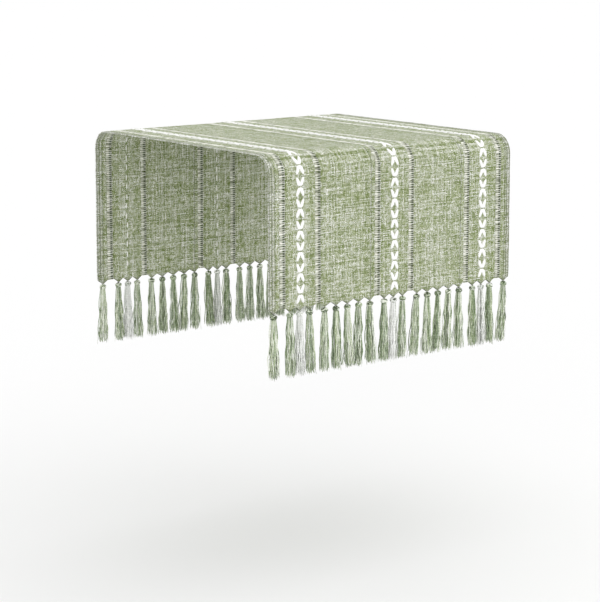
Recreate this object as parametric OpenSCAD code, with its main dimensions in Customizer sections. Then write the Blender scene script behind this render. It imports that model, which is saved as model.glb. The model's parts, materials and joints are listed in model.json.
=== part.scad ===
// Table runner with embroidered chains, ladder hemstitch columns and a knotted
// fringe at both ends, draped over the rounded edges of a small table.
// Origin: middle of the underside of the flat top span, where it lies on the table.
// +X runs across the cloth, from selvedge to selvedge. +Y runs along it, towards
// the back drop, and -Y towards the front drop. +Z is up.
// The cloth is one woven piece. It is cut here at two fold lines per end, so that
// each drop can hang or be laid out flat.

/* [Cloth] */
// Width of the cloth, from selvedge to selvedge
runner_w = 404; // [380:2:440]
// Thickness of the woven cloth
cloth_t = 1.6; // [1:0.2:2]

/* [Drape] */
// Length of the table under the cloth, between the two drops
table_l = 387; // [300:1:600]
// Radius of the table's two rounded edges
edge_r = 24; // [18:1:40]
// Height of the front drop, from the table's top down to the hem
front_drop_h = 190; // [120:1:260]
// Height of the back drop, from the table's top down to the hem
back_drop_h = 207; // [120:1:260]

/* [Stitching] */
// Distance from the middle chain to the chain on each side
chain_pitch = 153; // [150:1:156]
// Width of one embroidered chain
chain_w = 12; // [9:1:14]
// Distance from a chain to the ladder column on each side of it
ladder_offset = 28; // [26:1:30]
// Width of one ladder column
ladder_w = 9; // [6:0.5:10]
// Height of the stitches above the cloth
stitch_t = 0.6; // [0.4:0.1:0.8]

/* [Fringe] */
// Spacing of the three tassels at each chain
chain_tassel_pitch = 15.5; // [15:0.5:16]
// Spacing of the five tassels between two chains
field_tassel_pitch = 18.5; // [16:0.5:19]
// Distance from a selvedge to the tassel at the corner
corner_tassel_inset = 8; // [7:1:9]
// Distance from the hem down to the centre of the knots
knot_below_hem = 9; // [8:0.5:12]
// Radius of a knot
knot_r = 4.2; // [3.4:0.1:4.4]
// Length of a tassel, from the centre of its knot to its cut end
tassel_l = 78; // [50:1:100]
// Radius of a tassel just under its knot
tassel_top_r = 3; // [2:0.1:3.4]
// Radius of a tassel at its cut end
tassel_end_r = 6.4; // [4:0.1:7]
// Width of the gathered hem where it enters a knot
hem_tip_w = 3; // [2:0.5:4]

/* [Folds] */
// Gap left in the cloth at each fold line
fold_gap = 1.8; // [1.6:0.1:3]
// Gap between a knot and the hem above it
knot_gap = 0.4; // [0.3:0.1:1]

/* [Hidden] */
$fn = 48;
chains = [-chain_pitch, 0, chain_pitch];
ladders = [for (c = chains, side = [-1, 1]) c + side * ladder_offset];
flat_half = table_l / 2 - edge_r;
outer_r = edge_r + cloth_t;
middle_r = edge_r + cloth_t / 2;
hem_tip_below = knot_below_hem - knot_r - knot_gap;
corner_tassel_x = runner_w / 2 - corner_tassel_inset;

// Angles round a table edge, from 0 where the flat top ends to 90 where the drop starts
first_fold = 22.5;
second_fold = 90 - first_fold;
half_gap = fold_gap / 2 / middle_r * 180 / PI;

function row(middle, pitch, each_side) =
    [for (i = [-each_side:each_side]) middle + i * pitch];
tassels = concat(
    [-corner_tassel_x],
    row(chains[0], chain_tassel_pitch, 1),
    row(-chain_pitch / 2, field_tassel_pitch, 2),
    row(chains[1], chain_tassel_pitch, 1),
    row(chain_pitch / 2, field_tassel_pitch, 2),
    row(chains[2], chain_tassel_pitch, 1),
    [corner_tassel_x]
);
last_tassel = len(tassels) - 1;
function under_chain(i) = len(search(tassels[i], chains)) > 0;

// Edges of the stretch of hem that is gathered into tassel i
function hem_start(i) = i == 0 ? -runner_w / 2 : (tassels[i - 1] + tassels[i]) / 2;
function hem_end(i) = i == last_tassel ? runner_w / 2 : hem_start(i + 1);

function tassel_name(end, i) = str(end, "_tassel_", i < 9 ? "0" : "", i + 1);
ZONES = ["top", "front_bend", "front_drop", "back_bend", "back_drop"];
LAYERS = ["cloth", "chains", "ladders"];

cloth_colour = "#9fb086";
chain_colour = "#f4f4ee";
ladder_colour = "#d5dbcd";
white_tassel_colour = "#e6e8e0";

// Extrudes a profile drawn along Y and Z to a strip of width w, centred on x
module strip(x, w) {
    translate([x - w / 2, 0, 0])
        rotate([90, 0, 90])
            linear_extrude(w) children();
}

// Puts a shape made for the back end at the named end
module at_end(end) {
    mirror([0, end == "front" ? 1 : 0, 0]) children();
}

// Layer of thickness t, lifted off the table by lift, round the edge from angle a0 to a1
module edge_profile(lift, t, a0, a1) {
    reach = 2 * (outer_r + t);
    translate([flat_half, -edge_r])
        intersection() {
            difference() {
                circle(edge_r + lift + t);
                circle(edge_r + lift);
            }
            polygon([
                [0, 0],
                reach * [sin(a0), cos(a0)],
                reach * [sin((a0 + a1) / 2), cos((a0 + a1) / 2)],
                reach * [sin(a1), cos(a1)]
            ]);
        }
}

module top_profile(lift, t) {
    translate([-flat_half, lift]) square([2 * flat_half, t]);
    for (side = [0, 1])
        mirror([side, 0]) edge_profile(lift, t, 0, first_fold - half_gap);
}

module bend_profile(lift, t) {
    edge_profile(lift, t, first_fold + half_gap, second_fold - half_gap);
}

module drop_profile(lift, t, drop_h) {
    edge_profile(lift, t, second_fold + half_gap, 90);
    translate([flat_half + edge_r + lift, -drop_h]) square([t, drop_h - edge_r]);
}

// Hem gathered to a point over each knot
module gathered_hem(drop_h) {
    translate([0, flat_half + outer_r, -drop_h])
        rotate([90, 0, 0])
            linear_extrude(cloth_t)
                for (i = [0:last_tassel])
                    polygon([
                        [hem_start(i), 0],
                        [tassels[i] - hem_tip_w / 2, -hem_tip_below],
                        [tassels[i] + hem_tip_w / 2, -hem_tip_below],
                        [hem_end(i), 0]
                    ]);
}

module top_cloth() {
    color(cloth_colour) strip(0, runner_w) top_profile(0, cloth_t);
}

module top_chains() {
    color(chain_colour)
        for (x = chains) strip(x, chain_w) top_profile(cloth_t, stitch_t);
}

module top_ladders() {
    color(ladder_colour)
        for (x = ladders) strip(x, ladder_w) top_profile(cloth_t, stitch_t);
}

module bend_cloth(end) {
    color(cloth_colour) at_end(end) strip(0, runner_w) bend_profile(0, cloth_t);
}

module bend_chains(end) {
    color(chain_colour)
        at_end(end)
            for (x = chains) strip(x, chain_w) bend_profile(cloth_t, stitch_t);
}

module bend_ladders(end) {
    color(ladder_colour)
        at_end(end)
            for (x = ladders) strip(x, ladder_w) bend_profile(cloth_t, stitch_t);
}

module drop_cloth(end, drop_h) {
    color(cloth_colour)
        at_end(end) {
            strip(0, runner_w) drop_profile(0, cloth_t, drop_h);
            gathered_hem(drop_h);
        }
}

module drop_chains(end, drop_h) {
    color(chain_colour)
        at_end(end)
            for (x = chains) strip(x, chain_w) drop_profile(cloth_t, stitch_t, drop_h);
}

module drop_ladders(end, drop_h) {
    color(ladder_colour)
        at_end(end)
            for (x = ladders) strip(x, ladder_w) drop_profile(cloth_t, stitch_t, drop_h);
}

// Warp ends knotted together under the hem, and hanging loose below the knot
module tassel(end, drop_h, i) {
    color(under_chain(i) ? white_tassel_colour : cloth_colour)
        at_end(end)
            translate([tassels[i], flat_half + middle_r, -drop_h - knot_below_hem]) {
                sphere(knot_r);
                translate([0, 0, -tassel_l])
                    cylinder(h = tassel_l - knot_r / 2, r1 = tassel_end_r, r2 = tassel_top_r);
            }
}

top_cloth();
top_chains();
top_ladders();
bend_cloth("front");  // front_bend_cloth
bend_chains("front");  // front_bend_chains
bend_ladders("front");  // front_bend_ladders
drop_cloth("front", front_drop_h);  // front_drop_cloth
drop_chains("front", front_drop_h);  // front_drop_chains
drop_ladders("front", front_drop_h);  // front_drop_ladders
bend_cloth("back");  // back_bend_cloth
bend_chains("back");  // back_bend_chains
bend_ladders("back");  // back_bend_ladders
drop_cloth("back", back_drop_h);  // back_drop_cloth
drop_chains("back", back_drop_h);  // back_drop_chains
drop_ladders("back", back_drop_h);  // back_drop_ladders
for (i = [0:last_tassel]) {
    tassel("front", front_drop_h, i);
    tassel("back", back_drop_h, i);
}
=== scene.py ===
"""The table runner's looks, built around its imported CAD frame.

The cloth is a woven sheet whose mesh has one vertex for each crossing of two yarns, with chain
stitches and ladder columns on top, gathered into the knots of a fringe at both ends. A place on the
cloth is given by x, across it, and s, the length along it from the middle of the table to that end.
All lengths are in metres.
"""

import json
import math

import bpy
import numpy as np
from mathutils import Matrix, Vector

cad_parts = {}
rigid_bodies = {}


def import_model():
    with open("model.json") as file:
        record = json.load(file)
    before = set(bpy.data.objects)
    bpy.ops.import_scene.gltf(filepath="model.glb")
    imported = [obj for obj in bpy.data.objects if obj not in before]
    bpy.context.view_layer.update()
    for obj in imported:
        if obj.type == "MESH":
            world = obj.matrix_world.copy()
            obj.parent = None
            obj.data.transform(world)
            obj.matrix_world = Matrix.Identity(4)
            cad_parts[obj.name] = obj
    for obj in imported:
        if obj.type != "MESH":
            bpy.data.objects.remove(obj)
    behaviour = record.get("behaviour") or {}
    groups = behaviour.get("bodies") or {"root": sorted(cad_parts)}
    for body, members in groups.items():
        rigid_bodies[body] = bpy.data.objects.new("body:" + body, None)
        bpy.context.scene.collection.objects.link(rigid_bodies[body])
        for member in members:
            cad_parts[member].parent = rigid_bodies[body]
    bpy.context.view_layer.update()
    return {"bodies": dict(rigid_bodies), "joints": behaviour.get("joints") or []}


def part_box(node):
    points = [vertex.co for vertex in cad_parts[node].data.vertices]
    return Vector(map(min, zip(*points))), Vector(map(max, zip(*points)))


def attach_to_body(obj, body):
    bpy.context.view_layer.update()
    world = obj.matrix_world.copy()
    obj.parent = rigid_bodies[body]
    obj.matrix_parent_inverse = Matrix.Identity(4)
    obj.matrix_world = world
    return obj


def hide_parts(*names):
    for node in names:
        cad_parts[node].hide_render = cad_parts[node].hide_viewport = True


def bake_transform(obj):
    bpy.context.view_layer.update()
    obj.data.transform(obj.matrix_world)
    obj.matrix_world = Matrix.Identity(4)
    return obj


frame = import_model()

MM = 0.001
SEED = 20
ENDS = ("front", "back")
SIDE = {"front": -1, "back": 1}

# Cloth: pitch and unevenness of the yarn, and thickness of the sheet
YARN = 1.42 * MM
SLUB = 0.16 * MM
SHEET_T = 1.1 * MM
LADDER_SHEET_T = 0.4 * MM
CLOTH_TONE = 0.4
CLOTH_WARMTH = 0.3

# Drape
FOLD_TURN = math.radians(22.5)
SWAY = 1.5 * MM
RIPPLE = 0.12 * MM
SWAY_FADE_L = 14 * MM
# A crease along the bend, raised in lumps and darkened in lumps with painted shade
CREASE_TURN = math.radians(40)
CREASE_HALF_L = 2.8 * MM
CREASE_LUMP = 0.35 * MM

# Points of the hem, gathered and pleated above each knot
TIP_ROWS = 7
TIP_HALF_W = 1.1 * MM
TIP_ABOVE_KNOT = 4.4 * MM
TIP_POWER = 0.85
PLEAT = 0.5 * MM
PLEATS = 3.2
# Painted shade along the outer yarns of each point
TIP_EDGE_SHADE = 0.75
LADDER_GAP_HALF_W = 4.2 * MM

# Darker yarns: every third one of the selvedge and some long lines. The gaps of the ladders are painted
# shadow: their thin ground is darkened, most of all where the bars stand furthest apart.
SELVEDGE_W = 8.5 * MM
SELVEDGE_DARK = 0.6
LINE_DARK = 0.55
LINE_FROM_EDGE = 10 * MM
LINE_FROM_LADDER = 11 * MM
LADDER_SHADE = 0.35

# Chains: two leaves that part downwards, then two that meet again, repeated
CHAIN_PERIOD = 26.8 * MM
LEAF_L = 11 * MM
LEAF_HALF_W = 2.6 * MM
LEAF_HALF_H = 1.15 * MM
LEAF_APEX = 1.15 * MM
LEAF_FOOT_INSET = 0.9 * MM
SECOND_PAIR_AT = 14.3 * MM
LAST_PAIR_ABOVE_HEM = 15.5 * MM
LEAST_ABOVE_HEM = {"front": 4 * MM, "back": 3 * MM}

# Ladders
LADDER_OFFSET = 28 * MM
BAR_PITCH = 2.85 * MM
BAR_HALF_H = 0.8 * MM

# Fringe
STRANDS = 44
HAIRS = 16
GOLDEN_ANGLE = 2.39996
STRAND_R = 0.6 * MM
HAIR_R = 0.3 * MM
FLARE_TOP_R = 2.8 * MM
FLARE_END_R = 6.3 * MM
FLARE_POWER = 0.55
STRAND_WAVE = 0.75 * MM
STRAND_CRIMP = 0.22 * MM
LEAN_ACROSS = 1.9 * MM
LEAN_OUT = 1 * MM
KNOT_LOOPS = 11
KNOT_YARN_R = 0.65 * MM
KNOT_WIDENING = 1.3
KNOT_CORE_R = 2.6 * MM
KNOT_CORE_HALF_L = 4.15 * MM

# Tones of the loose yarns and the share of each in the two kinds of tassel, the painted shade of a few
# strands, and tone and painted shade in knots
STRAND_TONES = (0.06, 0.25, 0.45, 0.66, 0.92)
WHITE_SHARES = (0.13, 0.1, 0.1, 0.25, 0.42)
SAGE_SHARES = (0.17, 0.18, 0.18, 0.23, 0.24)
# Painted shade: a few strands are darkened nearly to black, standing in for streaks of shade among them
STRAND_SHADE = 0.6
STRAND_SHADE_SHARE = 0.03
# Painted shade: the second number of each knot yarn darkens it as the shade between the wraps
KNOT_YARNS = ((0, 0.75), (0.05, 0.3), (0.25, 0), (0.6, 0), (1, 0))

# Studio. Each sun has a strength, a spread in degrees and a direction
CAMERA_AT = (-1.6975, -2.1739, 0.2914)
CAMERA_TILT = math.radians(90 - 10.694)
CAMERA_TURN = math.radians(-37.97)
LENS_MM = 123.07
SENSOR_MM = 36
WORLD_SEEN = 1.0
WORLD_LIGHT = 0.58
SUNS = {"key": (1.85, 110, (0.36, -0.28, 0.89)), "fill": (0.75, 60, (-0.62, -0.77, 0.15))}
FLOOR_HALF = 40
FLOOR_Z = -0.56
FLOOR_ALBEDO = 0.87


# ---------------------------------------------------------------- measures of the frame

joints = {joint["name"]: joint for joint in frame["joints"]}


def joint_at(name):
    return Vector(joints[name]["pos_m"])


def table_edge():
    """Half the flat length of the table's top, and the radius of its rounded edge.

    The two folds of a drop lie on one circle about the middle of the rounded edge, FOLD_TURN from
    where the round starts and from where it ends.
    """
    upper, lower = joint_at("front_upper_fold"), joint_at("front_lower_fold")
    circle_r = (upper.y - lower.y) / (math.cos(FOLD_TURN) - math.sin(FOLD_TURN))
    return -upper.y - circle_r * math.sin(FOLD_TURN), circle_r * math.cos(FOLD_TURN) - upper.z


FLAT_HALF, EDGE_R = table_edge()
CLOTH_T = -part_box("front_drop_cloth")[0].y - FLAT_HALF - EDGE_R
HALF_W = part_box("top_cloth")[1].x
MIDDLE_R = EDGE_R + CLOTH_T / 2
ARC = MIDDLE_R * math.pi / 2
SEAM = FLAT_HALF + ARC / 2
HEM_Z = {end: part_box(f"{end}_drop_ladders")[0].z for end in ENDS}
HEM = {end: FLAT_HALF + ARC - EDGE_R - HEM_Z[end] for end in ENDS}

NUMBERS = sorted(body[-2:] for body in frame["bodies"] if body.startswith("front_tassel_"))
KNOTS = {end: {n: joint_at(f"{end}_tassel_{n}_swing") for n in NUMBERS} for end in ENDS}
KNOT_X = [KNOTS["front"][n].x for n in NUMBERS]
KNOT_BELOW_HEM = HEM_Z["front"] - KNOTS["front"][NUMBERS[0]].z
TIP_L = KNOT_BELOW_HEM - TIP_ABOVE_KNOT
TASSEL_L = KNOTS["front"][NUMBERS[0]].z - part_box("front_tassel_01")[0].z

WHITE_TASSELS = ("03", "11", "19")
CHAINS = [KNOTS["front"][n].x for n in WHITE_TASSELS]
LADDERS = [x + side * LADDER_OFFSET for x in CHAINS for side in (-1, 1)]
CHAIN_HALF_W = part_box("top_chains")[1].x - CHAINS[-1]
LADDER_HALF_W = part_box("top_ladders")[1].x - LADDERS[-1]


# ---------------------------------------------------------------- random fields and the drape

def smooth(t):
    return t * t * (3 - 2 * t)


def value_noise(rng, x, v, cell_x, cell_v):
    """A smooth random field from -1 to 1 on the grid x by v.

    Each corner of a cell has one random value.
    """
    across, along = (x - x.min()) / cell_x, (v - v.min()) / cell_v
    i, j = across.astype(int), along.astype(int)
    corners = rng.uniform(-1, 1, (i.max() + 2, j.max() + 2))
    a, b = smooth(across - i)[:, None], smooth(along - j)[None, :]
    near = corners[np.ix_(i, j)] * (1 - a) + corners[np.ix_(i + 1, j)] * a
    far = corners[np.ix_(i, j + 1)] * (1 - a) + corners[np.ix_(i + 1, j + 1)] * a
    return near * (1 - b) + far * b


def sway(end, x, s):
    """How far the hanging cloth stands out from its flat shape: soft waves that grow down the drop."""
    phase = 0.6 if end == "front" else 2.9
    down = np.clip((s - SEAM) / (HEM[end] - SEAM), 0, 1)
    to_knot = smooth(np.clip((HEM[end] + TIP_L - s) / SWAY_FADE_L, 0, 1))
    waves = 0.55 + 0.3 * np.sin(x * 37 + phase) + 0.25 * np.sin(x * 71 - 2 * phase + 9 * s)
    ripples = RIPPLE * np.sin(x * 90 + s * 45 + phase) * np.sin(s * 60 - x * 25)
    return SWAY * waves * down ** 1.4 * to_knot + ripples * to_knot


def draped(end, x, s, height):
    """Points of the draped cloth at x and s, height above the middle of its thickness."""
    x, s, height = np.broadcast_arrays(x, s, height)
    turn = np.clip((s - FLAT_HALF) / MIDDLE_R, 0, math.pi / 2)
    below = np.maximum(s - FLAT_HALF - ARC, 0)
    r = MIDDLE_R + height + sway(end, x, s)
    out = np.minimum(s, FLAT_HALF) + r * np.sin(turn)
    up = -EDGE_R + r * np.cos(turn) - below
    return np.stack([x, SIDE[end] * out, up], axis=-1)


# ---------------------------------------------------------------- meshes

def new_piece(name, points, faces, material, yarn, flat):
    """A smooth mesh object.

    yarn holds a tone, a warmth and a darkness for each point, the darkness being partly dark yarn and
    partly painted shade.
    flat is the UV map, with a place for each corner of each face.
    """
    mesh = bpy.data.meshes.new(name)
    mesh.from_pydata(points.tolist(), [], faces)
    mesh.polygons.foreach_set("use_smooth", np.ones(len(mesh.polygons), bool))
    mesh.uv_layers.new(name="flat").data.foreach_set("uv", flat.astype(np.float32).ravel())
    colour = np.ones((len(points), 4), np.float32)
    colour[:, :3] = yarn
    mesh.color_attributes.new("yarn", "FLOAT_COLOR", "POINT").data.foreach_set("color", colour.ravel())
    mesh.materials.append(material)
    mesh.update()
    obj = bpy.data.objects.new(name, mesh)
    bpy.context.scene.collection.objects.link(obj)
    return obj


class Tubes:
    """Many yarns gathered into one mesh. Each is a row of rings, closed at both ends.

    The flat map runs in metres along the yarn, and from 0 to 1 round it.
    """

    def __init__(self):
        self.points, self.faces, self.tones, self.flat = [], [], [], []
        self.count = 0

    def add(self, centres, side, lift, tone, sides=6):
        """A yarn through centres. Each ring is an ellipse on its own vectors side and lift."""
        rings = len(centres)
        k = np.arange(sides)
        after = (k + 1) % sides
        angle = k * 2 * math.pi / sides
        ring = (centres[:, None] + np.cos(angle)[None, :, None] * side[:, None]
                + np.sin(angle)[None, :, None] * lift[:, None])
        self.points.append(ring.reshape(-1, 3))
        self.tones.append(np.tile(tone, (rings * sides, 1)))
        low = self.count + np.arange(rings - 1)[:, None] * sides
        quads = np.stack([low + k, low + after, low + sides + after, low + sides + k], axis=2)
        self.faces.extend(quads.reshape(-1, 4).tolist())
        step = np.linalg.norm(np.diff(centres, axis=0), axis=1)
        along = np.concatenate([[0], np.cumsum(step)])
        here = np.broadcast_to(along[:-1, None], (rings - 1, sides))
        there = np.broadcast_to(along[1:, None], (rings - 1, sides))
        round_low = np.broadcast_to(k / sides, (rings - 1, sides))
        round_high = round_low + 1 / sides
        corners = [(here, round_low), (here, round_high), (there, round_high), (there, round_low)]
        self.flat.append(np.stack([np.stack(corner, -1) for corner in corners], 2).reshape(-1, 2))
        last = self.count + (rings - 1) * sides
        for cap, place in (((self.count + k[::-1]), along[0]), (last + k, along[-1])):
            self.faces.append(cap.tolist())
            self.flat.append(np.tile((place, 0.0), (sides, 1)))
        self.count += rings * sides

    def piece(self, name, material):
        return new_piece(name, np.concatenate(self.points), self.faces, material,
                         yarn=np.concatenate(self.tones), flat=np.concatenate(self.flat))


# ---------------------------------------------------------------- materials

def srgb(*parts):
    """A colour given in the usual 0 to 255 parts, as linear light."""
    return tuple(((p / 255 + 0.055) / 1.055) ** 2.4 for p in parts) + (1,)


def add(tree, kind, inputs=None, **settings):
    """A new node. Each of inputs is a value, or another node's output to link."""
    made = tree.nodes.new(kind)
    for key, value in settings.items():
        setattr(made, key, value)
    for key, value in (inputs or {}).items():
        if isinstance(value, bpy.types.NodeSocket):
            tree.links.new(value, made.inputs[key])
        else:
            made.inputs[key].default_value = value
    return made


def maths(tree, operation, a, b=0.0, c=0.0):
    return add(tree, "ShaderNodeMath", {0: a, 1: b, 2: c}, operation=operation).outputs[0]


def ramp(tree, factor, stops):
    made = add(tree, "ShaderNodeValToRGB", {"Fac": factor})
    while len(made.color_ramp.elements) < len(stops):
        made.color_ramp.elements.new(0.5)
    for element, (place, colour) in zip(made.color_ramp.elements, stops):
        element.position, element.color = place, colour
    return made.outputs["Color"]


def blend_colours(tree, factor, a, b):
    made = add(tree, "ShaderNodeMix", data_type="RGBA")
    for socket, value in ((made.inputs[0], factor), (made.inputs[6], a), (made.inputs[7], b)):
        if isinstance(value, bpy.types.NodeSocket):
            tree.links.new(value, socket)
        else:
            socket.default_value = value
    return made.outputs[2]


def colour_of(tree, tone, warmth, cool, warm, darkness, dark):
    """Yarn colour: by tone along a ramp, by warmth from cool to warm, and by darkness to dark, the one
    colour of dark yarns and of painted shade.
    """
    colour = blend_colours(tree, warmth, ramp(tree, tone, cool), ramp(tree, tone, warm))
    return blend_colours(tree, darkness, colour, dark)


def begin(name):
    """A new material's node tree, its yarn attribute in parts, and its flat map."""
    material = bpy.data.materials.new(name)
    material.use_nodes = True
    tree = material.node_tree
    tree.nodes.clear()
    yarn = add(tree, "ShaderNodeAttribute", attribute_name="yarn")
    parts = add(tree, "ShaderNodeSeparateColor", {0: yarn.outputs["Color"]})
    flat_map = add(tree, "ShaderNodeUVMap", uv_map="flat")
    flat = add(tree, "ShaderNodeSeparateXYZ", {0: flat_map.outputs[0]})
    return material, tree, parts, flat


def finish_yarn(tree, colour, height, depth, roughness, sheen):
    """A matt, slightly furry surface whose bump has that height in parts of depth."""
    relief = add(tree, "ShaderNodeBump", {"Strength": 1.0, "Distance": depth, "Height": height})
    shader = add(tree, "ShaderNodeBsdfPrincipled",
                 {"Base Color": colour, "Normal": relief.outputs[0], "Roughness": roughness,
                  "Specular IOR Level": 0.1, "Sheen Weight": sheen, "Sheen Roughness": 0.5})
    add(tree, "ShaderNodeOutputMaterial", {"Surface": shader.outputs[0]})


def times(tree, a, b):
    return maths(tree, "MULTIPLY", a, b)


def varied(tree, tone, value, share):
    """The tone, moved by share of how far value is from 0.5."""
    return maths(tree, "MULTIPLY_ADD", maths(tree, "SUBTRACT", value, 0.5), share, tone)


def noise(tree, x, y, z, scale, detail=2.0):
    place = add(tree, "ShaderNodeCombineXYZ", {0: x, 1: y, 2: z})
    return add(tree, "ShaderNodeTexNoise",
               {"Vector": place.outputs[0], "Scale": scale, "Detail": detail}).outputs[0]


def plied_yarn(name, cool, warm, dark, ply_l, plies, contrast):
    """Loose yarn: plies wound round each other once every ply_l, with fibres.

    Its colour changes slowly along it.
    """
    material, tree, parts, flat = begin(name)
    along, around = flat.outputs[0], flat.outputs[1]
    turns = maths(tree, "MULTIPLY_ADD", along, 1 / ply_l, times(tree, around, float(plies)))
    groove = maths(tree, "SINE", times(tree, turns, 2 * math.pi))
    fibres = noise(tree, times(tree, along, 900.0), times(tree, turns, 5.0), 0.0, 1.0)
    own = times(tree, parts.outputs[0], 40.0)
    dyed = noise(tree, times(tree, along, 170.0), own, parts.outputs[1], 1.0)
    # Painted shade and highlight: the tone is lower in the grooves between plies and higher on their
    # crowns
    tone = maths(tree, "MULTIPLY_ADD", groove, 0.07, parts.outputs[0])
    tone = varied(tree, tone, fibres, contrast)
    tone = varied(tree, tone, dyed, contrast * 2.4)
    height = maths(tree, "MULTIPLY_ADD", fibres, 0.5, times(tree, groove, 0.5))
    colour = colour_of(tree, tone, parts.outputs[1], cool, warm, parts.outputs[2], dark)
    finish_yarn(tree, colour, height, depth=0.2 * MM, roughness=0.85, sheen=0.3)
    return material


def yarn_tone(tree, base, index, along, layer):
    """The tone of yarn number index, which changes slowly and quickly along it."""
    slow = noise(tree, times(tree, index, 3.71), times(tree, along, 0.1), layer, 1.0)
    quick = noise(tree, times(tree, index, 5.37), times(tree, along, 0.6), layer, 1.0)
    own = add(tree, "ShaderNodeTexWhiteNoise", {"W": maths(tree, "ADD", index, layer)},
              noise_dimensions="1D").outputs[0]
    tone = varied(tree, varied(tree, base, slow, 1.7), quick, 2.0)
    return varied(tree, tone, own, 0.45)


def yarn_height(tree, place, index, along, rise):
    """A round yarn that rises by rise where it is on top, and dips under the others as much."""
    off = maths(tree, "SUBTRACT", place, index)
    arch = maths(tree, "SQRT", maths(tree, "MULTIPLY_ADD", times(tree, off, off), -3.7, 1.0))
    wave = maths(tree, "COSINE", times(tree, maths(tree, "ADD", along, index), math.pi))
    return maths(tree, "MULTIPLY_ADD", wave, rise, arch)


def woven_cloth(name, cool, warm, dark):
    """Plain weave, in which each yarn has its own tone.

    The flat map counts yarns, so that each crossing is centred on whole numbers. The warp is on top where
    they add up to an even number.
    """
    material, tree, parts, flat = begin(name)
    u, v = flat.outputs[0], flat.outputs[1]
    warp, weft = (maths(tree, "ROUND", place) for place in (u, v))
    warp_height = yarn_height(tree, u, warp, v, 0.3)
    weft_height = yarn_height(tree, v, weft, u, -0.3)
    height = maths(tree, "MAXIMUM", warp_height, weft_height)
    on_top = maths(tree, "GREATER_THAN", weft_height, warp_height)
    warp_tone = yarn_tone(tree, parts.outputs[0], warp, v, 0.5)
    weft_tone = yarn_tone(tree, parts.outputs[0], weft, u, 60.5)
    tone = maths(tree, "MULTIPLY_ADD", on_top, maths(tree, "SUBTRACT", weft_tone, warp_tone), warp_tone)
    fibres = noise(tree, times(tree, u, 4.0), times(tree, v, 4.0), 3.0, 1.0, 3.0)
    tone = varied(tree, tone, fibres, 0.4)
    # Painted shade and highlight: the tone falls where yarns dip under each other and rises a little on
    # their crowns
    tone = maths(tree, "MULTIPLY_ADD", maths(tree, "SUBTRACT", height, 1.1), 0.3, tone)
    mottled = noise(tree, times(tree, u, 0.8), times(tree, v, 0.8), 9.0, 1.0)
    warmth = varied(tree, varied(tree, parts.outputs[1], mottled, 1.2), tone, -1.3)
    # Painted shade: the hollows between crossings are darkened further towards the dark colour
    hollow_shade = times(tree, maths(tree, "SUBTRACT", 0.75, height), 1.8)
    relief = maths(tree, "MULTIPLY_ADD", fibres, 0.25, height)
    darkness = maths(tree, "MAXIMUM", parts.outputs[2], hollow_shade)
    colour = colour_of(tree, tone, warmth, cool, warm, darkness, dark)
    finish_yarn(tree, colour, relief, depth=0.4 * MM, roughness=0.9, sheen=0.08)
    return material


def shades(places, *colours):
    """The stops of a ramp, from the darkest colour to the lightest."""
    return [(place, srgb(*colour)) for place, colour in zip(places, colours)]


def make_materials():
    cloth_at, plain_at, fringe_at = (0.0, 0.35, 0.65, 1.0), (0.0, 0.5, 1.0), (0.0, 0.3, 0.65, 1.0)
    cool = shades(cloth_at, (118, 124, 102), (169, 172, 155), (205, 207, 197), (242, 243, 239))
    warm = shades(cloth_at, (106, 122, 66), (160, 173, 116), (200, 207, 164), (240, 243, 222))
    thread = shades(plain_at, (136, 140, 122), (204, 206, 192), (250, 250, 242))
    white = shades(plain_at, (232, 232, 227), (252, 252, 250), (254, 254, 253))
    sage = shades(fringe_at, (114, 132, 102), (160, 176, 146), (208, 217, 198), (246, 248, 242))
    moss = shades(fringe_at, (116, 134, 88), (166, 182, 134), (210, 219, 182), (246, 249, 232))
    pale = shades(plain_at, (190, 195, 184), (244, 245, 242), (253, 253, 252))
    # One dark colour, both for the dark yarns and for all painted shade
    dark_and_shade = srgb(52, 62, 34)
    return {
        "cloth": woven_cloth("woven_cloth", cool, warm, dark_and_shade),
        "chain": plied_yarn("chain_yarn", white, white, dark_and_shade, ply_l=3 * MM, plies=5, contrast=0.2),
        "ladder": plied_yarn("ladder_yarn", thread, thread, dark_and_shade, ply_l=2.2 * MM, plies=2, contrast=0.4),
        "sage": plied_yarn("sage_fringe", sage, moss, dark_and_shade, ply_l=3.6 * MM, plies=2, contrast=0.5),
        "white": plied_yarn("white_fringe", pale, sage, dark_and_shade, ply_l=3.6 * MM, plies=2, contrast=0.4),
    }


# ---------------------------------------------------------------- the cloth

def warp_places():
    """The warp yarns' x, and the first yarn of the stretch of hem of each tassel.

    The yarns are evenly spaced within a stretch.
    """
    ends = [-HALF_W] + [(a + b) / 2 for a, b in zip(KNOT_X, KNOT_X[1:])] + [HALF_W]
    places, first = [ends[0]], [0]
    for a, b in zip(ends, ends[1:]):
        count = round((b - a) / YARN)
        places.extend(a + (b - a) * np.arange(1, count + 1) / count)
        first.append(len(places) - 1)
    return np.array(places), first


def weft_places(end):
    """The weft yarns' s, from the middle of the table to the points of the hem.

    The rows of the seam and of the hem come with them.
    """
    to_seam, to_hem = round(SEAM / YARN), round((HEM[end] - SEAM) / YARN)
    rows = np.concatenate([
        np.linspace(0, SEAM, to_seam + 1),
        np.linspace(SEAM, HEM[end], to_hem + 1)[1:],
        np.linspace(HEM[end], HEM[end] + TIP_L, TIP_ROWS + 1)[1:],
    ])
    return rows, to_seam, to_seam + to_hem


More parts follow.
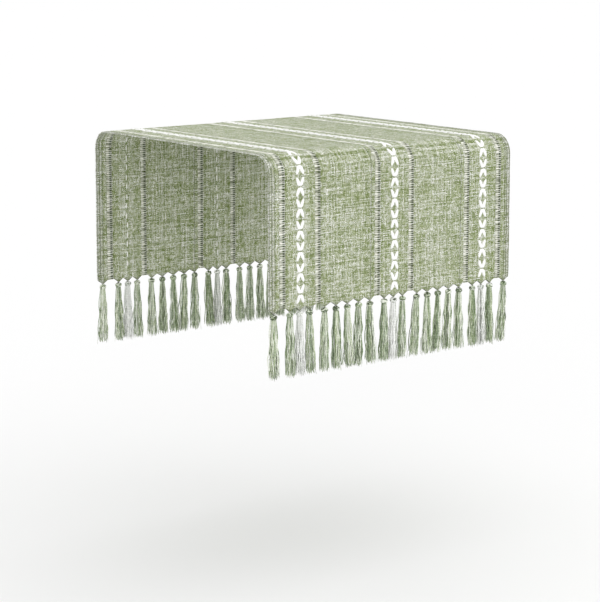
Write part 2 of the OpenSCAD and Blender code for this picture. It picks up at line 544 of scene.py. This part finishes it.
def weave_fields(x, v, hems):
    """Tone, warmth, darkness (dark yarns and painted shade), height and thickness of the cloth at each
    crossing of warp x and weft v.
    """
    rng = np.random.default_rng(SEED)
    slubs = value_noise(rng, x, v, YARN, 20 * MM) + value_noise(rng, x, v, 20 * MM, YARN)
    patch = value_noise(rng, x, v, 9 * MM, 14 * MM) + 0.8 * value_noise(rng, x, v, 3 * MM, 5 * MM)
    tone = CLOTH_TONE - 0.02 * patch + 0.04 * slubs
    warmth = CLOTH_WARMTH + 0.08 * patch
    dark_and_shade = np.zeros_like(tone)
    height = SLUB * (0.7 * slubs + 0.5 * patch)
    thickness = np.full_like(tone, SHEET_T)

    edge = np.clip((np.abs(x) - HALF_W + SELVEDGE_W) / (1.5 * MM), 0, 1)[:, None]
    tone = tone + 0.04 * edge
    warmth = warmth * (1 - edge)
    dark_and_shade[np.flatnonzero(edge == 1)[1::3]] = SELVEDGE_DARK
    crease_at = FLAT_HALF + MIDDLE_R * CREASE_TURN
    crease = np.exp(-((np.abs(v) - crease_at) / CREASE_HALF_L) ** 2)[None, :]
    lumps = value_noise(rng, x, v, 2.4 * MM, 2 * MM)
    # Painted shade: the cloth is darkened, in lumps, along the crease in the bend
    tone = tone - crease * (0.1 + 0.18 * lumps)
    height = height + CREASE_LUMP * crease * lumps
    lines = [LINE_FROM_EDGE - HALF_W, HALF_W - LINE_FROM_EDGE]
    lines += [middle - LINE_FROM_LADDER for middle in LADDERS[2::2]]
    for line in lines:
        dark_and_shade[np.argmin(np.abs(x - line))] = LINE_DARK
    in_cloth = ((v < hems[0]) & (v > -hems[1]))[None, :]
    for middle in LADDERS:
        across = (x - middle) / LADDER_HALF_W
        inside = (np.abs(across) < 1)[:, None] & in_cloth
        # Painted shadow: each ladder's recessed ground is darkened, most where the bars are thinnest, in
        # place of holes showing the shade behind
        hole_shadow = smooth(np.clip(1.3 - np.abs(across - 0.5) / 0.4, 0, 1))[:, None]
        dark_and_shade = np.where(inside, LADDER_SHADE + (1 - LADDER_SHADE) * hole_shadow, dark_and_shade)
        thickness = np.where(inside, LADDER_SHEET_T, thickness)
        height = np.where(inside, 0, height)
    return np.clip(tone, 0, 1), np.clip(warmth, 0, 1), dark_and_shade, height, thickness


def tip_shape(x, s, end, middle, half_w):
    """Pinches a stretch of hem towards the knot at middle, and pleats it more the nearer it comes."""
    drawn = np.clip((s - HEM[end]) / TIP_L, 0, 1) ** TIP_POWER
    narrowed = middle + (x - middle) * (1 - drawn * (1 - TIP_HALF_W / half_w))
    pleats = PLEAT * drawn * np.cos((x - middle) / half_w * PLEATS * math.pi)
    return narrowed, pleats


def sheet_mesh(name, end, x, s, counts, quads, tones, height, thickness, material, pleats=0):
    """A closed sheet over the grid of x and s. counts holds each point's warp and weft numbers."""
    upper = draped(end, x, s, thickness / 2 + height + pleats)
    lower = draped(end, x, s, pleats - height * 0.6 - thickness / 2)
    count = len(x)
    starts, stops = quads.ravel(), np.roll(quads, -1, axis=1).ravel()
    rim = ~np.isin(starts * count + stops, stops * count + starts)
    a, b = starts[rim], stops[rim]
    walls = np.stack([b, a, a + count, b + count], axis=1)
    faces = np.concatenate([quads, quads[:, ::-1] + count, walls])
    return new_piece(name, np.concatenate([upper, lower]), faces.tolist(), material,
                     yarn=np.concatenate([tones, tones]), flat=np.tile(counts, (2, 1))[faces.ravel()])


def grid_quads(columns, rows, front):
    """The quads of a grid whose vertex at column i and row j is i * rows + j."""
    i, j = np.meshgrid(np.arange(columns - 1), np.arange(rows - 1), indexing="ij")
    a = (i * rows + j).ravel()
    quads = np.stack([a, a + rows, a + rows + 1, a + 1], axis=1)
    return quads[:, ::-1] if front else quads


def cloth_pieces(end, x, first, rows, seam, hem, fields, material):
    """The cloth from the middle of the table to the seam in the bend, and on to the hem's points."""
    front = end == "front"
    tone, warmth, dark_and_shade, height, thickness = fields
    weft_numbers = -SIDE[end] * np.arange(len(rows))

    def crossings(columns, chosen):
        """The points where these warps and wefts cross: x, s, counts, tones, height and thickness."""
        at = np.ix_(columns, chosen)
        gx, gs = np.meshgrid(x[columns], rows[chosen], indexing="ij")
        counts = np.stack(np.meshgrid(columns, weft_numbers[chosen], indexing="ij"), -1).reshape(-1, 2)
        tones = np.stack([field[at].ravel() for field in (tone, warmth, dark_and_shade)], axis=1)
        return [gx.ravel(), gs.ravel(), counts, tones, height[at].ravel(), thickness[at].ravel()]

    every, on_top, hanging = np.arange(len(x)), np.arange(seam + 1), np.arange(seam, hem + 1)
    gx, gs, counts, tones, up, thick = crossings(every, on_top)
    quads = grid_quads(len(x), len(on_top), front)
    top = sheet_mesh(f"cloth_{end}_top", end, gx, gs, counts, quads, tones, up, thick, material)

    parts = [crossings(every, hanging)]
    pleats = [np.zeros(len(parts[0][0]))]
    quads = [grid_quads(len(x), len(hanging), front)]
    count = len(parts[0][0])
    below = np.arange(hem, len(rows))
    for k, middle in enumerate(KNOT_X):
        columns = np.arange(first[k], first[k + 1] + 1)
        clear = np.min(np.abs(np.subtract.outer(x[columns], LADDERS)), axis=1) > LADDER_GAP_HALF_W
        columns = columns[clear]
        tip = crossings(columns, below)
        half_w = np.max(np.abs(x[columns] - middle))
        at_edge = np.abs(tip[0] - middle) > half_w - 1.5 * YARN
        tip[0], fold = tip_shape(tip[0], tip[1], end, middle, half_w)
        # Painted shade: each point darkens in the valleys of its pleats and along its edges
        tip[3][:, 2] = np.maximum.reduce([tip[3][:, 2], -fold / PLEAT * 0.6, TIP_EDGE_SHADE * at_edge])
        tip_quads = grid_quads(len(columns), len(below), front) + count
        shared = {count + i * len(below): column * len(hanging) + len(hanging) - 1
                  for i, column in enumerate(columns)}
        quads.append(np.vectorize(lambda n: shared.get(n, n))(tip_quads))
        parts.append(tip)
        pleats.append(fold)
        count += len(fold)
    gx, gs, counts, tones, up, thick = (np.concatenate(part) for part in zip(*parts))
    quads, pleats = np.concatenate(quads), np.concatenate(pleats)
    used = np.unique(quads)
    place = np.zeros(count, int)
    place[used] = np.arange(len(used))
    drop = sheet_mesh(f"cloth_{end}_drop", end, gx[used], gs[used], counts[used], place[quads],
                      tones[used], up[used], thick[used], material, pleats[used])
    return top, drop


# ---------------------------------------------------------------- chains and ladders

def leaf(tubes, end, middle, s, direction, side, rng):
    """One plump leaf of a chain, from the blunt end where it meets its pair to its pointed foot.

    Its direction is 1 towards the hem.
    """
    t = (1 - np.cos(np.linspace(0, math.pi, 15))) / 2
    blunt = np.sqrt(1 - np.clip(1 - (t + 0.004) / 0.2, 0, 1) ** 2)
    half_w = LEAF_HALF_W * blunt * np.sqrt(1 - np.clip((t - 0.4) / 0.61, 0, 1) ** 2.2)
    offset = side * (LEAF_APEX + (CHAIN_HALF_W - LEAF_FOOT_INSET - LEAF_APEX) * t)
    along = s + direction * LEAF_L * t + rng.normal(0, 0.12 * MM)
    height = CLOTH_T / 2 - 0.15 * MM
    x = middle + offset
    centres = draped(end, x, along, height)
    across = draped(end, x + half_w, along, height) - centres
    lift_by = LEAF_HALF_H * (half_w / LEAF_HALF_W) ** 0.7
    lift = draped(end, x, along, height + lift_by) - centres
    tone = (0.7 + rng.normal(0, 0.06), 0, 0)
    tubes.add(centres, across, lift, tone, sides=10)


def back_stitch(tubes, end, middle, s, direction, rng):
    """The short stitch that a pair of leaves leaves on the underside."""
    along = s + direction * np.linspace(0.15, 0.85, 6) * LEAF_L
    height = -CLOTH_T / 2 + 0.1 * MM
    centres = draped(end, middle + rng.normal(0, 0.3 * MM), along, height)
    r = 0.8 * MM * np.array([0.5, 0.9, 1, 1, 0.9, 0.5])
    across = np.stack([r, 0 * r, 0 * r], axis=1)
    lift = draped(end, middle, along, height + r) - draped(end, middle, along, height)
    tubes.add(centres, across, lift, (0.5, 0, 0))


def chain_pieces(end, material):
    """The chains' leaves, from the hem back over the table, in the pieces before and after the seam."""
    rng = np.random.default_rng([SEED, 1, ENDS.index(end)])
    top, drop = Tubes(), Tubes()
    last = HEM["front"] - LAST_PAIR_ABOVE_HEM
    lowest = -HEM["back"] + LEAST_ABOVE_HEM["back"]
    highest = HEM["front"] - LEAST_ABOVE_HEM["front"]
    repeats = int((last - lowest) / CHAIN_PERIOD) + 2
    for middle in CHAINS:
        for k in range(repeats):
            start = last - k * CHAIN_PERIOD
            for apex, direction in ((start, 1), (start + SECOND_PAIR_AT + LEAF_L, -1)):
                centre = apex + direction * LEAF_L / 2
                inside = lowest < min(apex, apex + direction * LEAF_L) and apex < highest
                if not inside or (centre >= 0) != (end == "front"):
                    continue
                s = abs(apex)
                away = direction if end == "front" else -direction
                tubes = top if abs(centre) < SEAM else drop
                for side in (-1, 1):
                    leaf(tubes, end, middle, s, away, side, rng)
                back_stitch(tubes, end, middle, s, away, rng)
    return top.piece(f"chains_{end}_top", material), drop.piece(f"chains_{end}_drop", material)


def ladder_pieces(end, material):
    """Bundles of weft across each ladder, standing out on both faces of the cloth."""
    rng = np.random.default_rng([SEED, 2, ENDS.index(end)])
    top, drop = Tubes(), Tubes()
    count = int(HEM[end] / BAR_PITCH)
    t = np.linspace(-1, 1, 7)
    for middle in LADDERS:
        for k in range(count):
            s = (k + 0.5) * BAR_PITCH
            lean, bow = rng.normal(0, 0.4 * MM), rng.normal(0, 0.25 * MM)
            x = middle + t * LADDER_HALF_W * (0.95 + rng.normal(0, 0.05))
            along = s + lean * t + bow * (1 - t ** 2) + rng.normal(0, 0.15 * MM)
            along = np.maximum(along, 0)
            centres = draped(end, x, along, 0.0)
            r = BAR_PITCH / 2 * (0.88 - 0.46 * smooth(np.clip(1.5 * t + 0.5, 0, 1)))
            r = r * rng.uniform(0.85, 1.1)
            along_by = draped(end, x, along + r, 0.0) - centres
            lift = draped(end, x, along, BAR_HALF_H * (1 - 0.35 * t ** 4)) - centres
            tone = (np.clip(0.6 + rng.normal(0, 0.2), 0, 1), 0, 0)
            (top if s < SEAM else drop).add(centres, lift, along_by, tone)
    return top.piece(f"ladders_{end}_top", material), drop.piece(f"ladders_{end}_drop", material)


# ---------------------------------------------------------------- the fringe

def knot(tubes, centre, rng, tone_of):
    """A core tinted near black as painted shadow, inside a tangle of loops of yarn, which lie round it at
    all slants.
    """
    z = np.linspace(-3.2, 4.1, 9) * MM
    r = KNOT_CORE_R * np.sqrt(1 - (z / KNOT_CORE_HALF_L) ** 2)
    core = np.array(centre) + np.stack([0 * z, 0 * z, z], axis=1)
    side = np.stack([r, 0 * r, 0 * r], axis=1)
    lift = np.stack([0 * r, r, 0 * r], axis=1)
    # Painted shadow: the core is tinted near black as the shade inside the knot
    tubes.add(core, side, lift, tone=(0.1, 0.5, 0.9), sides=10)
    for _ in range(KNOT_LOOPS):
        pole = rng.normal(0, 1, 3) + (0, 0, rng.choice((-1, 1)))
        pole /= np.linalg.norm(pole)
        across = np.cross(pole, (0.3, 1, 0.2))
        across /= np.linalg.norm(across)
        theta = rng.uniform(0, 6) + np.linspace(0, 2 * math.pi, 19)
        out = np.cos(theta)[:, None] * across + np.sin(theta)[:, None] * np.cross(pole, across)
        loop = out * rng.uniform(2.9, 3.4) * MM + pole * rng.uniform(-1.1, 1.1) * MM
        loop[:, 0] *= KNOT_WIDENING
        lift = np.tile(pole * KNOT_YARN_R, (len(theta), 1))
        tubes.add(np.array(centre) + loop, out * KNOT_YARN_R, lift, tone_of())


def strand(tubes, centre, angle, spread, start, length, radius, lean, rng, tone, sides=6):
    """One loose yarn, from start, measured down from the knot's centre, to its cut end.

    It flares away from the tassel's middle.
    """
    t = np.linspace(0, 1, 17)
    down = start + t * (length - start)
    near, far = FLARE_TOP_R * spread, FLARE_END_R * spread
    opened = near + (far - near) * np.clip((down - 3 * MM) / (0.8 * TASSEL_L), 0, 1) ** FLARE_POWER
    loose = smooth(np.clip((down - 5 * MM) / (22 * MM), 0, 1))
    phases = rng.uniform(0, 2 * math.pi, 4)
    waves = [STRAND_WAVE * np.sin(down / rng.uniform(9, 13) / MM * 2 + phases[k])
             + STRAND_CRIMP * np.sin(down / (2.4 * MM) + phases[k + 2]) for k in (0, 1)]
    fall = down / TASSEL_L
    x = centre.x + opened * math.cos(angle) + loose * waves[0] + lean[0] * fall ** 1.5
    y = centre.y + opened * math.sin(angle) * 0.85 + loose * waves[1] * 0.8 + lean[1] * fall ** 1.5
    centres = np.stack([x, y, centre.z - down], axis=1)
    r = radius * np.interp(down, [0, 6 * MM, 26 * MM, TASSEL_L], [0.7, 0.8, 1, 0.95])
    r[-1] *= 0.4
    side = np.stack([r, 0 * r, 0 * r], axis=1)
    lift = np.stack([0 * r, -r, 0 * r], axis=1)
    tubes.add(centres, side, lift, tone, sides)


def tassel(end, number, materials):
    """A knot of warp ends with its loose strands, in one piece."""
    centre = KNOTS[end][number]
    white = number in WHITE_TASSELS
    rng = np.random.default_rng([SEED, 3, ENDS.index(end), int(number)])

    def tone_of():
        shares = WHITE_SHARES if white else SAGE_SHARES
        tone = rng.choice(STRAND_TONES, p=shares) + rng.normal(0, 0.05)
        # Painted shade: a few strands are darkened nearly to black, standing in for streaks of shade among
        # them
        dark = STRAND_SHADE * (rng.random() < STRAND_SHADE_SHARE)
        return np.clip(tone, 0, 1), (0.12 if white else rng.uniform(0, 0.7)), dark

    def knot_tone():
        # Painted shade between the wraps, from the second number of each knot yarn
        tone, dark = KNOT_YARNS[rng.integers(len(KNOT_YARNS))]
        return tone, rng.uniform(0, 0.6), dark

    tubes = Tubes()
    knot(tubes, centre, rng, knot_tone)
    lean = rng.normal(0, LEAN_ACROSS), rng.normal(0, LEAN_OUT)
    for k in range(STRANDS):
        angle = k * GOLDEN_ANGLE + rng.normal(0, 0.25)
        spread = math.sqrt((k + 0.5) / STRANDS)
        if k > STRANDS - 3:
            spread *= rng.uniform(1, 1.3)
        length = TASSEL_L * rng.uniform(0.92, 1.01)
        strand(tubes, centre, angle, spread, 0, length, STRAND_R, lean, rng, tone_of())
    for _ in range(HAIRS):
        start = TASSEL_L * rng.uniform(0.55, 0.8)
        length = TASSEL_L * rng.uniform(0.95, 1.03)
        angle = rng.uniform(0, 2 * math.pi)
        spread = rng.uniform(0.4, 1.35)
        strand(tubes, centre, angle, spread, start, length, HAIR_R, lean, rng, tone_of(), sides=4)
    return tubes.piece(f"tassel_{end}_{number}", materials["white" if white else "sage"])


# ---------------------------------------------------------------- scene

def make_camera():
    data = bpy.data.cameras.new("camera")
    data.sensor_width = SENSOR_MM
    data.lens = LENS_MM
    camera = bpy.data.objects.new("camera", data)
    camera.location = CAMERA_AT
    camera.rotation_euler = (CAMERA_TILT, 0, CAMERA_TURN)
    bpy.context.scene.collection.objects.link(camera)
    bpy.context.scene.camera = camera


def make_studio():
    """A white floor and background, and soft light from all round.

    A broad key light comes from high on the right, and a weak fill light from the front.
    """
    scene = bpy.context.scene
    scene.view_settings.view_transform = "Standard"
    world = bpy.data.worlds.new("studio")
    scene.world = world
    world.use_nodes = True
    tree = world.node_tree
    tree.nodes.clear()
    seen = add(tree, "ShaderNodeLightPath").outputs["Is Camera Ray"]
    strength = maths(tree, "MULTIPLY_ADD", seen, WORLD_SEEN - WORLD_LIGHT, WORLD_LIGHT)
    background = add(tree, "ShaderNodeBackground", {"Color": (1, 1, 1, 1), "Strength": strength})
    add(tree, "ShaderNodeOutputWorld", {"Surface": background.outputs[0]})

    for name, (energy, spread, direction) in SUNS.items():
        sun = bpy.data.lights.new(name, "SUN")
        sun.energy = energy
        sun.angle = math.radians(spread)
        lamp = bpy.data.objects.new(name, sun)
        lamp.rotation_euler = Vector(direction).to_track_quat("Z", "Y").to_euler()
        scene.collection.objects.link(lamp)

    corners = [(x * FLOOR_HALF, y * FLOOR_HALF, FLOOR_Z) for x, y in ((-1, -1), (1, -1), (1, 1), (-1, 1))]
    mesh = bpy.data.meshes.new("floor")
    mesh.from_pydata(corners, [], [(0, 1, 2, 3)])
    floor = bpy.data.objects.new("floor", mesh)
    paint = bpy.data.materials.new("floor")
    paint.use_nodes = True
    sockets = paint.node_tree.nodes["Principled BSDF"].inputs
    sockets["Base Color"].default_value = (FLOOR_ALBEDO, FLOOR_ALBEDO, FLOOR_ALBEDO, 1)
    sockets["Roughness"].default_value = 1
    sockets["Specular IOR Level"].default_value = 0
    mesh.materials.append(paint)
    scene.collection.objects.link(floor)


def attach(end, layer, slot, top, drop):
    """Fixes the transforms of a layer's two pieces, already bent over the table's edge, and hides that
    layer's CAD nodes, which they stand for.
    """
    places = [Vector(draped(end, 0.0, s, 0.0)) for s in (FLAT_HALF, SEAM, FLAT_HALF + ARC)]
    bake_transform(top)
    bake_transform(drop)
    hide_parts(f"top_{layer}", f"{end}_bend_{layer}")
    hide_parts(f"{end}_bend_{layer}", f"{end}_drop_{layer}")


def build():
    materials = make_materials()
    x, first = warp_places()
    wefts = {end: weft_places(end) for end in ENDS}
    v = np.concatenate([-wefts["back"][0][::-1], wefts["front"][0][1:]])
    fields = weave_fields(x, v, (HEM["front"], HEM["back"]))
    middle = len(wefts["back"][0]) - 1
    for end in ENDS:
        rows, seam, hem = wefts[end]
        step = 1 if end == "front" else -1
        chosen = middle + step * np.arange(len(rows))
        here = [field[:, chosen] for field in fields]
        cloth = cloth_pieces(end, x, first, rows, seam, hem, here, materials["cloth"])
        chains = chain_pieces(end, materials["chain"])
        ladders = ladder_pieces(end, materials["ladder"])
        attach(end, "cloth", "woven_cloth", *cloth)
        attach(end, "chains", "chain_yarn", *chains)
        attach(end, "ladders", "ladder_yarn", *ladders)
        for number in NUMBERS:
            piece = tassel(end, number, materials)
            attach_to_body(piece, f"{end}_tassel_{number}")
            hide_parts(f"{end}_tassel_{number}")


make_camera()
make_studio()
build()
